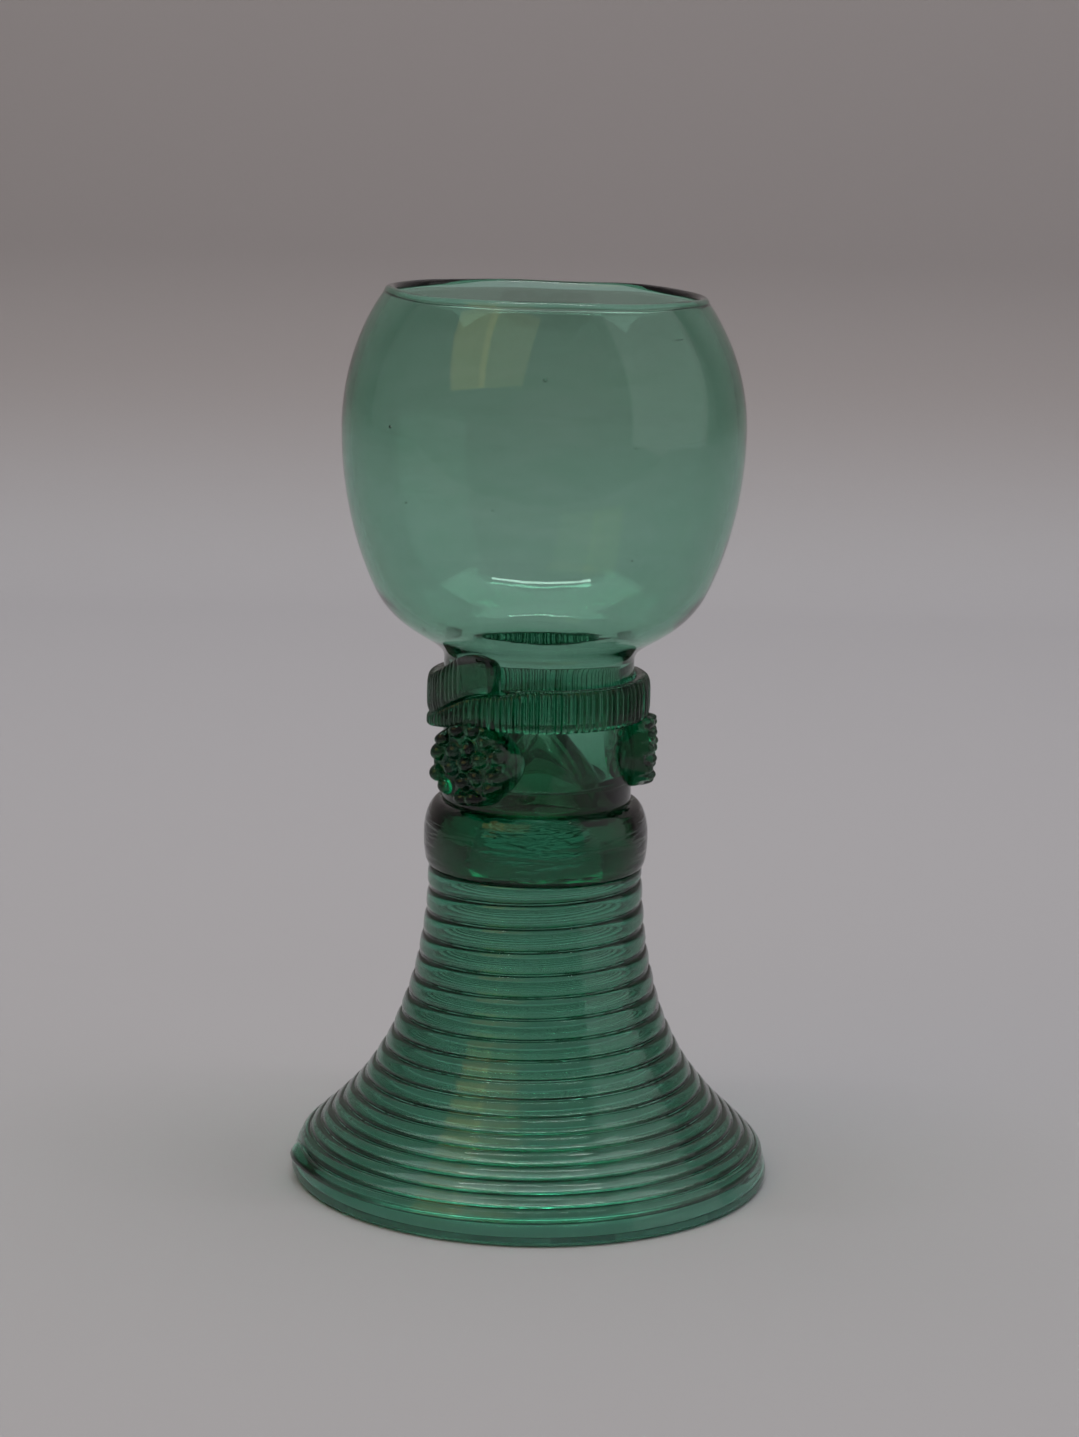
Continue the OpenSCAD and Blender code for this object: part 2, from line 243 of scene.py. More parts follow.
def smooth_look_up(table, key):
    """Value of a table of rising keys at a key, on a smooth curve through its entries"""
    k = min(max(1, sum(low <= key for low, _ in table)), len(table) - 1)
    near = [table[max(0, min(len(table) - 1, i))] for i in (k - 2, k - 1, k, k + 1)]
    (x0, y0), (x1, y1), (x2, y2), (x3, y3) = near
    step = x2 - x1
    t = max(0, min(1, (key - x1) / step))
    low_slope, high_slope = (y2 - y0) / (x2 - x0) * step, (y3 - y1) / (x3 - x1) * step
    return ((2 * t ** 3 - 3 * t ** 2 + 1) * y1 + (t ** 3 - 2 * t ** 2 + t) * low_slope
            + (3 * t ** 2 - 2 * t ** 3) * y2 + (t ** 3 - t ** 2) * high_slope)


def turned(point, at):
    """A point of the half plane turned to an angle around the glass, from the front towards the right"""
    return Vector((point.x * math.sin(at), -point.x * math.cos(at), point.y))


# Tools that the pieces share

def new_piece(add, **settings):
    """Adds a primitive with nothing else selected, and returns its object"""
    if bpy.context.mode != "OBJECT":
        bpy.ops.object.mode_set(mode="OBJECT")
    bpy.ops.object.select_all(action="DESELECT")
    add(**settings)
    return bpy.context.object


def turn_on_lathe(outline):
    """Draws an outline point by point and spins it around the axis of the glass"""
    piece = new_piece(bpy.ops.mesh.primitive_plane_add, size=MM)
    bpy.ops.object.mode_set(mode="EDIT")
    bpy.ops.mesh.merge(type="CENTER")
    points = [Vector((p.x, 0, p.y)) for p in outline]
    bpy.ops.transform.translate(value=points[0])
    for here, there in zip(points, points[1:]):
        bpy.ops.mesh.extrude_region_move(TRANSFORM_OT_translate={"value": there - here})
    bpy.ops.mesh.select_all(action="SELECT")
    bpy.ops.mesh.spin(steps=TURN_STEPS, angle=math.tau, center=(0, 0, 0), axis=(0, 0, 1))
    close_seams()
    return piece


def close_seams():
    """Merges doubles and turns all faces outwards, in edit mode"""
    bpy.ops.mesh.select_all(action="SELECT")
    bpy.ops.mesh.remove_doubles(threshold=MM / 500)
    bpy.ops.mesh.normals_make_consistent(inside=False)
    bpy.ops.object.mode_set(mode="OBJECT")


def draw_strip(rings, corners, place):
    """A closed strip of glass: an open tube of links, with place(ring, corner) giving each of its points"""
    piece = new_piece(bpy.ops.mesh.primitive_cylinder_add, vertices=corners, radius=1, depth=1,
                      end_fill_type="NOTHING", location=(0.5, 0, 0), rotation=(0, math.pi / 2, 0))
    bpy.ops.object.transform_apply(location=True, rotation=True, scale=True)
    links = piece.modifiers.new("Links", "ARRAY")
    links.count = rings - 1
    links.relative_offset_displace = (1, 0, 0)
    links.use_merge_vertices = True
    links.merge_threshold = 0.01
    bpy.ops.object.modifier_apply(modifier=links.name)
    for vertex in piece.data.vertices:
        corner = round(math.atan2(vertex.co.z, vertex.co.y) * corners / math.tau) % corners
        vertex.co = place(round(vertex.co.x), corner)
    bpy.ops.object.mode_set(mode="EDIT")
    bpy.ops.mesh.select_all(action="SELECT")
    bpy.ops.mesh.fill_holes(sides=corners)
    close_seams()
    return piece


def blow(piece, depth, grain):
    """Gives the walls of a piece the gentle unevenness of glass shaped by breath and turning"""
    clouds = bpy.data.textures.new("Breath", "CLOUDS")
    clouds.noise_scale = grain
    clouds.noise_depth = 1
    uneven = piece.modifiers.new("Breath", "DISPLACE")
    uneven.texture = clouds
    uneven.texture_coords = "LOCAL"
    uneven.strength = depth
    bpy.ops.object.modifier_apply(modifier=uneven.name)


def hand_in(piece, name, slot, material, *nodes):
    """Smooths, names and colours a finished piece, and lets it stand for its nodes on the one body"""
    test = bmesh.new()
    test.from_mesh(piece.data)
    if not all(edge.is_manifold for edge in test.edges) or test.calc_volume(signed=True) <= 0:
        raise RuntimeError(f"{name} isn't a closed surface that faces outwards")
    test.free()
    bpy.ops.object.shade_smooth()
    piece.name = piece.data.name = name
    piece.data.materials.clear()
    piece.data.materials.append(material)
    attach(piece, "root")
    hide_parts(*nodes)


# Materials

def add_node(tree, kind, sockets=(), **settings):
    """Adds a node, sets its fields, and sets or links its input sockets"""
    node = tree.nodes.new(kind)
    for field, value in settings.items():
        setattr(node, field, value)
    for socket, value in dict(sockets).items():
        if isinstance(value, bpy.types.NodeSocket):
            tree.links.new(value, node.inputs[socket])
        else:
            node.inputs[socket].default_value = value
    return node


def per_size(millimetres):
    """Scale of a pattern on Object coordinates whose features have that size"""
    return 1 / (millimetres * MM)


GLASS_IOR = 1.51
# Size of the patches of haze, and how matt the worn ring is
HAZE_MM = 9
WORN_ROUGH = 0.45


def forest_glass(name, green, cords_mm, cords_depth_mm, haze, gather=1.0, stretch=3):
    """Green potash glass, fire-polished: a clear wall that tints by its depth, with faint cords and haze"""
    material = bpy.data.materials.new(name)
    material.use_nodes = True
    tree = material.node_tree
    tree.nodes.clear()
    glass = bpy.context.scene.roemer_glass
    where = add_node(tree, "ShaderNodeTexCoord").outputs["Object"]

    # Cords of slightly different glass run around the axis, as it turned on the pipe
    around = add_node(tree, "ShaderNodeMapping", {"Vector": where, "Scale": (1, 1, stretch)})
    cords = add_node(tree, "ShaderNodeTexNoise", {"Vector": around.outputs[0], "Scale": per_size(cords_mm),
                                                  "Detail": 2, "Distortion": 0.6})
    tint = add_node(tree, "ShaderNodeValToRGB", {"Fac": cords.outputs["Fac"]})
    for stop, position, shade in zip(tint.color_ramp.elements, (0.3, 0.7), ("#f4fbf6", "#fcfefc")):
        stop.position = position
        stop.color = (*linear(shade), 1)
    bump = add_node(tree, "ShaderNodeBump", {"Height": cords.outputs["Fac"], "Distance": cords_depth_mm * MM,
                                             "Strength": 1})

    # Handling leaves a thin haze in patches, and the ring that the glass stands on is worn matt
    patches = add_node(tree, "ShaderNodeTexNoise", {"Vector": where, "Scale": per_size(HAZE_MM), "Detail": 4})
    hazy = add_node(tree, "ShaderNodeMapRange", {"Value": patches.outputs["Fac"], "From Min": 0.45,
                                                 "From Max": 0.8, "To Min": 0.0, "To Max": haze})
    height = add_node(tree, "ShaderNodeSeparateXYZ", {"Vector": where}).outputs["Z"]
    worn = add_node(tree, "ShaderNodeMapRange", {"Value": height, "From Min": 0.2 * MM, "From Max": 0.9 * MM,
                                                 "To Min": WORN_ROUGH, "To Max": 0.0},
                    interpolation_type="SMOOTHSTEP")
    rough = add_node(tree, "ShaderNodeMath", {0: hazy.outputs[0], 1: worn.outputs[0]}, operation="MAXIMUM")

    wall = add_node(tree, "ShaderNodeBsdfPrincipled", {
        "Base Color": tint.outputs["Color"], "Roughness": rough.outputs[0], "IOR": GLASS_IOR,
        "Transmission Weight": 1.0, "Normal": bump.outputs[0]})
    depth = add_node(tree, "ShaderNodeVolumeAbsorption", {"Color": (*green, 1),
                                                          "Density": glass.density * gather})
    add_node(tree, "ShaderNodeOutputMaterial", {"Surface": wall.outputs[0], "Volume": depth.outputs[0]})
    return material


# Height over which the paper's colour turns from the floor's to the wall's darker one, which is painted
# shade, in metres, and its tooth
PAINTED_SHADE_RISE = 0.075
TOOTH_MM = 1.5
TOOTH_DEPTH_MM = 0.05


def paper(name, stage):
    """Matt seamless paper: a pale floor whose colour darkens up the wall as painted shade, with a faint tooth
    and no gloss
    """
    material = bpy.data.materials.new(name)
    material.use_nodes = True
    tree = material.node_tree
    tree.nodes.clear()
    where = add_node(tree, "ShaderNodeTexCoord").outputs["Object"]
    height = add_node(tree, "ShaderNodeSeparateXYZ", {"Vector": where}).outputs["Z"]
    # Painted shade: the paper's colour darkens from the floor's to the wall's as it rises
    up = add_node(tree, "ShaderNodeMapRange", {"Value": height, "From Min": 0.0, "From Max": PAINTED_SHADE_RISE},
                  interpolation_type="SMOOTHSTEP")
    # The colours go in by number, because a Mix node has the names A and B once for each kind of value
    paper_and_painted_shade = add_node(tree, "ShaderNodeMix", {"Factor": up.outputs[0], 6: (*stage.floor, 1),
                                            7: (*stage.wall, 1)}, data_type="RGBA")
    tooth = add_node(tree, "ShaderNodeTexNoise", {"Vector": where, "Scale": per_size(TOOTH_MM), "Detail": 3})
    bump = add_node(tree, "ShaderNodeBump", {"Height": tooth.outputs["Fac"],
                                             "Distance": TOOTH_DEPTH_MM * MM, "Strength": 0.4})
    sheet = add_node(tree, "ShaderNodeBsdfPrincipled", {
        "Base Color": paper_and_painted_shade.outputs[2], "Roughness": 0.9, "Specular IOR Level": 0.1,
        "Normal": bump.outputs[0]})
    add_node(tree, "ShaderNodeOutputMaterial", {"Surface": sheet.outputs[0]})
    return material


# Bowl and stem

# Steps of the outline along its stretches
KICK_UNDER_STEPS = 18
STEM_STEPS = 24
WAIST_STEPS = 48
LOWER_BELLY_STEPS = 26
UPPER_BELLY_STEPS = 40
LIP_STEPS = 16
BORE_STEPS = 30
TROUGH_STEPS = 10
KICK_STEPS = 24
# Radius of the kick's rounded tip, as a share of the kick's radius
KICK_TIP = 0.2
# Thickness of the wall by the way along it from the top of the stem, in millimetres: thick in the stem,
# and drawn thin where it turns out
WAIST_WALL = ((-22, 3.7), (-9, 2.4), (-6, 2.3), (-4, 2.2), (-2, 2.1), (0, 1.94), (1.5, 1.75), (3, 1.6),
              (4.5, 1.53), (6, 1.54), (8, 1.62), (10, 1.66), (13, 1.63), (17, 1.55), (21, 1.52), (25, 1.5))


def bowl_wall_line(shape):
    """Middle line of the bowl's wall from the waist to the lip: its points, headings and half thicknesses"""
    belly = BELLY_R - shape.bowl_wall / 2
    belly_z = LIP_TOP - shape.belly_drop
    lip = Vector((belly - shape.lip_inset, LIP_TOP - shape.lip_wall / 2))
    shoulder = Vector((belly - shape.shoulder_inset, STEM_TOP + shape.shoulder_h))
    lip_turn = math.acos(lip.x / belly)
    lip_axis = (lip.y - belly_z) / math.sin(lip_turn)
    low_turn = math.acos(shoulder.x / belly)
    low_axis = (belly_z - shoulder.y) / math.sin(low_turn)

    def on_belly(at, axis):
        point = Vector((belly * math.cos(at), belly_z + axis * math.sin(at)))
        return point, Vector((-belly * math.sin(at), axis * math.cos(at))).normalized()

    waist = Vector((STEM_R - shape.stem_wall / 2, STEM_TOP))
    up = on_belly(-low_turn, low_axis)[1]
    foot = (waist, waist + Vector((0, shape.waist_reach)), shoulder - shape.shoulder_reach * up, shoulder)
    line = [(cubic(foot, t), heading(foot, t), mix(shape.stem_wall, shape.bowl_wall, ease(t)) / 2)
            for t in shares(WAIST_STEPS)]
    line += [(*on_belly(-low_turn * (1 - t), low_axis), shape.bowl_wall / 2)
             for t in shares(LOWER_BELLY_STEPS, 1)]
    for t in shares(UPPER_BELLY_STEPS, 1):
        point, way = on_belly(lip_turn * (1 - (1 - t) ** 2), lip_axis)
        bead = math.sqrt(max(0, shape.lip_wall ** 2 / 4 - (lip - point).length_squared))
        line.append((point, way, max(shape.bowl_wall / 2, bead)))
    return line


def cone(x):
    """A cone with a rounded tip: 1 at the middle and 0 at the radius"""
    edge = math.hypot(1, KICK_TIP)
    return (edge - math.hypot(x, KICK_TIP)) / (edge - KICK_TIP)


def bowl_outline(shape):
    """Outline from the underside of the kick, up the outside, over the lip and down the inside to its top"""
    low_bore = STEM_R - WAIST_WALL[0][1] * MM
    trough = low_bore - shape.trough_r
    under = trough - shape.kick_wall
    rise = shape.kick_h - shape.kick_wall
    floor = KNOP_TOP + shape.kick_wall
    base = KNOP_TOP - shape.joint
    corner = shape.joint / 2
    line = bowl_wall_line(shape)
    lip, up, half = line[-1]
    outside = [p + half_wall * right_of(way) for p, way, half_wall in line]
    outline = [Vector((under * t, KNOP_TOP + rise * cone(t))) for t in shares(KICK_UNDER_STEPS)]
    outline += [Vector((under + corner, base)), Vector((STEM_R - corner, base))]
    outline += straight(Vector((STEM_R, base + corner)), Vector((STEM_R, STEM_TOP)), STEM_STEPS)[:-1]
    outline += outside
    for t in shares(LIP_STEPS, 1)[:-1]:
        outline.append(lip + half * (math.sin(math.pi * t) * up + math.cos(math.pi * t) * right_of(up)))
    inside = []
    run = 0
    for k, (_, way, half_wall) in enumerate(line):
        run += (outside[k] - outside[max(0, k - 1)]).length / MM
        wall = 2 * half_wall if run > WAIST_WALL[-1][0] else smooth_look_up(WAIST_WALL, run) * MM
        inside.append(outside[k] - wall * right_of(way))
    outline += inside[::-1]
    for t in shares(BORE_STEPS, 1)[:-1]:
        z = mix(STEM_TOP, floor + shape.trough_r, t)
        outline.append(Vector((STEM_R - smooth_look_up(WAIST_WALL, (z - STEM_TOP) / MM) * MM, z)))
    outline += quarter(Vector((low_bore, floor + shape.trough_r)), Vector((trough, floor)), TROUGH_STEPS)
    outline += [Vector((trough * (1 - t), floor + rise * cone(1 - t))) for t in shares(KICK_STEPS, 1)]
    return outline


# Seeds, which are bubbles caught in the bowl's wall: place around in degrees, and height, length and width
# in millimetres
SEEDS = ((0, 137.7, 0.6, 0.5), (-47.7, 128.7, 0.7, 0.5), (46, 143.2, 2.5, 0.2), (64, 98.1, 0.5, 0.3),
         (-56, 95.2, 0.3, 0.9), (150, 119.7, 0.5, 0.25), (-128, 110.7, 0.6, 0.3), (104, 131.7, 0.9, 0.2),
         (-14, 116.7, 0.35, 0.2), (28, 108.7, 0.4, 0.22))


def blow_seeds(piece, line):
    """Leaves the seeds in the middle of a wall, as hollows whose faces look inwards"""
    bpy.ops.object.mode_set(mode="EDIT")
    for degrees, height, length, width in SEEDS:
        middle = min(line, key=lambda entry: abs(entry[0].y - height * MM))[0]
        at = math.radians(degrees)
        bpy.ops.mesh.select_all(action="DESELECT")
        bpy.ops.mesh.primitive_uv_sphere_add(segments=12, ring_count=8, radius=0.5,
                                             location=turned(middle, at), rotation=(0, 0, at),
                                             scale=(length * MM, width * MM, width * MM))
        bpy.ops.mesh.flip_normals()
    bpy.ops.object.mode_set(mode="OBJECT")


# Size of the unevenness of the blown walls, in metres
BOWL_GRAIN = 0.022
# Waves of the lip: how many go round, their share of the wave's depth, and where they start
LIP_WAVES = ((3, 1, 0.6), (5, 0.7, 2.2), (8, 0.4, 0))


class ROEMER_OT_bowl_and_stem(bpy.types.Operator):
    """Models the bowl and the hollow stem, blown as one bubble whose floor is pushed up"""
    bl_idname = "roemer.bowl_and_stem"
    bl_label = "Bowl and Stem"

    def execute(self, context):
        shape, glass = context.scene.roemer_shape, context.scene.roemer_glass
        piece = turn_on_lathe(bowl_outline(shape))
        blow(piece, glass.waviness, BOWL_GRAIN)
        blow_seeds(piece, bowl_wall_line(shape))
        belly_z = LIP_TOP - shape.belly_drop
        for vertex in piece.data.vertices:
            high = ease((vertex.co.z - belly_z) / shape.belly_drop)
            at = math.atan2(vertex.co.x, -vertex.co.y)
            swing = sum(depth * math.sin(count * at + start) for count, depth, start in LIP_WAVES)
            vertex.co.z += high * (shape.lip_wave * swing - math.tan(shape.lip_tilt) * vertex.co.x)
        material = forest_glass("Blown forest glass", glass.green, cords_mm=14, cords_depth_mm=0.03,
                                haze=0.03, gather=1.08)
        hand_in(piece, "blown_bowl_and_stem", "bowl_glass", material, "bowl", "stem")
        return {"FINISHED"}


# Milled collar

COLLAR_CORNERS = 24
# How square the trail's section is: 1 is an ellipse, and less is squarer
COLLAR_BULGE = 0.58
# Share of its thickness that the trail keeps at its two ends, and of the thumbed turn that has no ribs
COLLAR_END = 0.35
THUMB_BARE = 0.2


class ROEMER_OT_milled_collar(bpy.types.Operator):
    """Models the collar: one flat trail that starts high, falls, goes round and ducks under its start"""
    bl_idname = "roemer.milled_collar"
    bl_label = "Milled Collar"

    def execute(self, context):
        shape, glass = context.scene.roemer_shape, context.scene.roemer_glass
        full = math.tau
        base = PRUNT_Z + PRUNT_R - shape.melt
        length = full + shape.tail_turn
        rib = full / shape.ribs
        start_clear = shape.collar_seam / STEM_R
        outside = [p + half * right_of(way) for p, way, half in bowl_wall_line(shape)[:WAIST_STEPS]]
        side = [(p.y, p.x) for p in outside]
        rings = int(length / rib * RIB_RINGS) + 1

        def lift(at):
            return shape.collar_rise * wave(min(at, shape.collar_fall), shape.collar_fall)

        def height(at):
            if at > full:
                return lift(at - full) - shape.collar_seam
            ducked = ease((at + start_clear - full) / shape.collar_duck + 1)
            return lift(at) + mix(shape.collar_h, shape.collar_rise - shape.collar_seam, ducked)

        # A hand wheel leaves ribs of uneven depth and spacing
        def rib_cut(at):
            uneven = 1 + 0.25 * math.sin(2.3 * at / rib) + 0.2 * math.sin(0.37 * at / rib)
            along = at / rib + 0.12 * math.sin(1.7 * at / rib)
            milled = ease(at / shape.collar_thumb - THUMB_BARE)
            return shape.rib_depth * uneven * milled * abs(math.cos(math.pi * along)) ** 3

        def place(ring, corner):
            at = length * ring / (rings - 1)
            reach = min(at, length - at) * STEM_R
            end = math.sin(math.pi / 2 * min(1, reach / shape.tail_round))
            bottom = base + lift(at) - shape.tail_drop * ease((at - full) / shape.tail_turn)
            short = 1 - min(1, at * STEM_R / shape.thumb_round)
            top = base + height(at) - shape.thumb_round * (1 - math.sqrt(1 - short ** 2))
            face = shape.collar_t * mix(COLLAR_END, 1, end) - rib_cut(at)
            turn = math.tau * corner / COLLAR_CORNERS
            across, up = math.cos(turn), math.sin(turn)
            out = mix(-shape.melt, face, 0.5 + 0.5 * math.copysign(abs(across) ** COLLAR_BULGE, across))
            z = mix(bottom, top, 0.5 + 0.5 * math.copysign(abs(up) ** COLLAR_BULGE, up))
            return turned(Vector((look_up(side, z) + out, z)), shape.collar_at - at)

        piece = draw_strip(rings, COLLAR_CORNERS, place)
        material = forest_glass("Milled forest glass", glass.foot_green, cords_mm=5, cords_depth_mm=0.04,
                                haze=0.04, gather=1.9)
        hand_in(piece, "milled_trail", "trail_glass", material, "milled_collar")
        return {"FINISHED"}


# Prunts

PRUNT_STEPS = 88
# How each prunt was set by hand: its turn in degrees and lift in millimetres from its place, and its
# stretch sideways and upwards
PRUNT_SET = {"prunt_front": (-4, 0.9, 1.15, 1.05), "prunt_right": (0, 1.6, 1.0, 0.92),
             "prunt_back": (2, 0.4, 1.05, 1.0)}
# Turn of the stamp on the first prunt, and from each prunt to the next, in radians
FIRST_SPIN = 0.35
SPIN_STEP = 1.1
# How far berries stray from their places and heights, as a share of their spacing and height
BERRY_STRAY = 0.06
BERRY_UNEVEN = 0.15
# How full a berry is: 1 is a parabola, and less is blunter
BERRY_BULGE = 0.7
# Share of a prunt's radius where its edge starts to round down, and of its height that is left at the edge
EDGE_START = 0.85
EDGE_LEFT = 0.05


def berry_places(shape, spin):
    """Centres and heights of a prunt's berries, in rings, each a little off as a worn stamp leaves it"""
    step = shape.berry_d + shape.berry_gap
    places = []
    for ring in range(int((PRUNT_R - shape.berry_d / 2) / step) + 1):
        for k in range(max(1, 6 * ring)):
            at = spin + math.tau * k / max(1, 6 * ring)
            off = BERRY_STRAY * math.sin(7 * ring + 3 * k + 5 * spin)
            reach = step * (ring + off)
            places.append((Vector((reach * math.cos(at + off), reach * math.sin(at + off))),
                           1 + BERRY_UNEVEN * math.sin(4 * k + 9 * spin)))
    return places


class ROEMER_OT_prunts(bpy.types.Operator):
    """Models the three stamped raspberry prunts on the stem"""
    bl_idname = "roemer.prunts"
    bl_label = "Prunts"

    def execute(self, context):
        shape, glass = context.scene.roemer_shape, context.scene.roemer_glass
        material = forest_glass("Stamped forest glass", glass.foot_green, cords_mm=4, cords_depth_mm=0.04,
                                haze=0.04, gather=1.9)
        crown_h = shape.prunt_t - shape.pad_edge
        crown_r = (PRUNT_R ** 2 + crown_h ** 2) / (2 * crown_h)
        berry_r = (shape.berry_d + shape.berry_gap) / 2

        for number, node in enumerate(PRUNTS):
            low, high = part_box(node)
            middle = (low + high) / 2
            turn, lift, wide, tall = PRUNT_SET[node]
            at = math.atan2(middle.x, -middle.y) + math.radians(turn)
            spin = FIRST_SPIN + SPIN_STEP * number
            berries = berry_places(shape, spin)

            piece = new_piece(bpy.ops.mesh.primitive_grid_add, x_subdivisions=PRUNT_STEPS,
                              y_subdivisions=PRUNT_STEPS, size=2)
            slab = piece.modifiers.new("Slab", "SOLIDIFY")
            slab.thickness = 1
            slab.offset = -1
            bpy.ops.object.modifier_apply(modifier=slab.name)
            for vertex in piece.data.vertices:
                x, y = vertex.co.x, vertex.co.y
                disc = Vector((x * math.sqrt(1 - y * y / 2), y * math.sqrt(1 - x * x / 2)))
                around = math.atan2(disc.y, disc.x)
                share = min(1, disc.length)
                uneven = 0.03 * math.sin(2 * around + spin) + 0.02 * math.sin(5 * around + 3 * spin)
                lobes = 1 + share * uneven
                flat = Vector((disc.x * wide, disc.y * tall)) * PRUNT_R * lobes
                out = math.sqrt(STEM_R ** 2 - flat.x ** 2) - shape.melt
                if vertex.co.z > -0.5:
                    fall = crown_r - math.sqrt(crown_r ** 2 - (share * PRUNT_R) ** 2)
                    crown = STEM_R + shape.prunt_t - fall
                    stand = 0
                    for centre, stands in berries:
                        inside = 1 - ((disc * PRUNT_R * lobes - centre).length / berry_r) ** 2
                        if inside > 0:
                            stand = max(stand, stands * inside ** BERRY_BULGE)
                    rounding = min(1, max(0, share - EDGE_START) / (1 - EDGE_START))
                    edge = mix(EDGE_LEFT, 1, math.sqrt(1 - rounding ** 2))
                    out += (crown + shape.berry_h * stand - out) * edge
                place = Vector((flat.x, -out, PRUNT_Z + lift * MM + flat.y))
                vertex.co = Matrix.Rotation(at, 3, "Z") @ place
            bpy.ops.object.mode_set(mode="EDIT")
            close_seams()
            hand_in(piece, node.replace("prunt", "raspberry_prunt"), "trail_glass", material, node)
        return {"FINISHED"}


# Knop

# Steps of the outline along its stretches, and the size of its unevenness in metres
KNOP_FLAT_STEPS = 6
KNOP_SIDE_STEPS = 16
KNOP_BORE_STEPS = 12
KNOP_GRAIN = 0.012


class ROEMER_OT_foot_knop(bpy.types.Operator):
    """Models the knop, the smooth ring of glass that joins the foot to the stem"""
    bl_idname = "roemer.foot_knop"
    bl_label = "Knop"

    def execute(self, context):
        shape, glass = context.scene.roemer_shape, context.scene.roemer_glass
        bore = min(STEM_R, shape.foot_neck_r) - shape.knop_wall
        low = Vector((shape.foot_neck_r + shape.thread_t, FOOT_TOP))
        wide = Vector((KNOP_R, FOOT_TOP + shape.knop_mid))
        high = Vector((STEM_R + shape.knop_ledge, KNOP_TOP))
        outline = straight(Vector((bore, FOOT_TOP)), low, KNOP_FLAT_STEPS)[:-1]
        outline += quarter(wide, low, KNOP_SIDE_STEPS)[::-1]
        outline += quarter(wide, high, KNOP_SIDE_STEPS)[1:]
        outline += straight(high, Vector((bore, KNOP_TOP)), KNOP_FLAT_STEPS)[1:]
        narrow = Vector((KNOP_R - shape.knop_side, wide.y))
        outline += quarter(narrow, Vector((bore, KNOP_TOP)), KNOP_BORE_STEPS)[::-1][1:]
        outline += quarter(narrow, Vector((bore, FOOT_TOP)), KNOP_BORE_STEPS)[1:]
        piece = turn_on_lathe(outline)
        blow(piece, glass.waviness / 2, KNOP_GRAIN)
        # Its cords are drawn out thin and lie deep, and show as streaks
        material = forest_glass("Gathered forest glass", glass.foot_green, cords_mm=9, cords_depth_mm=0.22,
                                haze=0.03, gather=1.1, stretch=7)
        hand_in(piece, "smooth_knop", "foot_glass", material, "foot_knop")
        return {"FINISHED"}


# Spun foot

def flare_curve(shape):
    """Outside of the foot's wall from the rim up to the knop"""
    rim = Vector((RIM_R, shape.rim_h))
    neck = Vector((shape.foot_neck_r, FOOT_TOP))
    lean = Vector((math.tan(shape.neck_lean), -1))
    return rim, rim + Vector((0, shape.flare_low)), neck + shape.flare_high * lean, neck


# Share of the flare in which the wall swells up to the thread, after a bare stretch of half as much
FLARE_SWELL = 0.12
# Steps of the outline along its stretches, and the size of its unevenness in metres
FLARE_WALL_STEPS = 60
RIM_STEPS = 14
RING_STEPS = 4
LEDGE_STEPS = 6
FOOT_GRAIN = 0.014


class ROEMER_OT_foot_wall(bpy.types.Operator):
    """Models the flared wall of the foot, with the smooth rim that the glass stands on"""
    bl_idname = "roemer.foot_wall"
    bl_label = "Foot Wall"

    def execute(self, context):
        shape, glass = context.scene.roemer_shape, context.scene.roemer_glass
        flare = flare_curve(shape)
        ground = Vector((RIM_R - shape.rim_round, 0))
        top = Vector((0, shape.joint))
        inside, outside = [], []
        for t in shares(FLARE_WALL_STEPS):
            seat, out = cubic(flare, t), right_of(heading(flare, t))
            inside.append(seat - shape.foot_wall * out)
            outside.append(seat + shape.thread_sink * ease(t / FLARE_SWELL - 0.5) * out)
        outline = straight(ground - Vector((shape.ring_w, 0)), ground, RING_STEPS)[:-1]
        outline += quarter(flare[0], ground, RIM_STEPS)[::-1]
        outline += outside[1:]
        outline += straight(outside[-1] + top, inside[-1] + top, RING_STEPS)
        outline += inside[::-1]
        outline += straight(inside[0], outline[0], LEDGE_STEPS)[1:]
        piece = turn_on_lathe(outline)
        blow(piece, glass.waviness / 2, FOOT_GRAIN)
        material = forest_glass("Spun forest glass", glass.foot_green, cords_mm=10, cords_depth_mm=0.03,
                                haze=0.03)
        hand_in(piece, "flared_foot_wall", "foot_glass", material, "foot_wall")
        return {"FINISHED"}


# Wound thread

THREAD_CORNERS = 20
# How square the thread's section is: 1 is an ellipse, and less is squarer
THREAD_BULGE = 0.64
# Place of the section's two sunk corners, as a share of its half width
THREAD_SEAT = 0.92
# Turn in which the thread's ends round off, how far they have come where they start, and the shares of the
# width and thickness that they start from
END_TURN = 0.03
END_START = 0.02
END_WIDE = 0.5
END_TALL = 0.35
# The drop that the thread's end leaves: its place before the end and its reach in turns, and how much it adds
# to the thickness and to the width there
DROP_AT = 0.03
DROP_REACH = 0.025
DROP_TALL = 1.1
DROP_WIDE = 0.4
FLARE_STEPS = 400


def flare_table(flare):
    """Pairs of the way along the flare from the knop and the curve's own measure there"""
    table = [(0, 1)]
    for i in range(FLARE_STEPS):
        here, there = (cubic(flare, 1 - k / FLARE_STEPS) for k in (i, i + 1))
        table.append((table[-1][0] + (there - here).length, 1 - (i + 1) / FLARE_STEPS))
    return table


